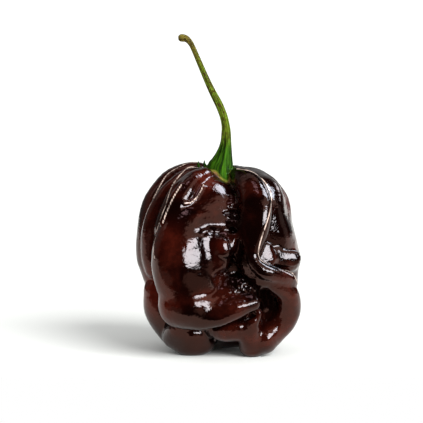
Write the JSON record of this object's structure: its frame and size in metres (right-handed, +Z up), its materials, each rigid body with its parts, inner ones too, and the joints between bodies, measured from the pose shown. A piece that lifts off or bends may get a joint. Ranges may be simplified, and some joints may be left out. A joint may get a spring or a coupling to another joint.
{
  "type": "chocolate habanero pepper",
  "caption": "Whole dark brown habanero pepper standing upright, with folded glossy lobes, a rolled lip and a slim green stalk bent at the top.",
  "frame": {"origin": "on the floor, under the middle of the part's outline", "axes": "+Z up along the stalk, +X to the right of the view with the rolled lip in front, +Y to the back"},
  "size_m": [0.0409, 0.0386, 0.0784],
  "materials": {
    "pod_skin": "smooth, waxy, high gloss skin",
    "stalk_skin": "ribbed green plant skin, satin"
  },
  "bodies": {
    "root": {"pod": "pod_skin", "stem": "stalk_skin"}
  },
  "joints": []
}
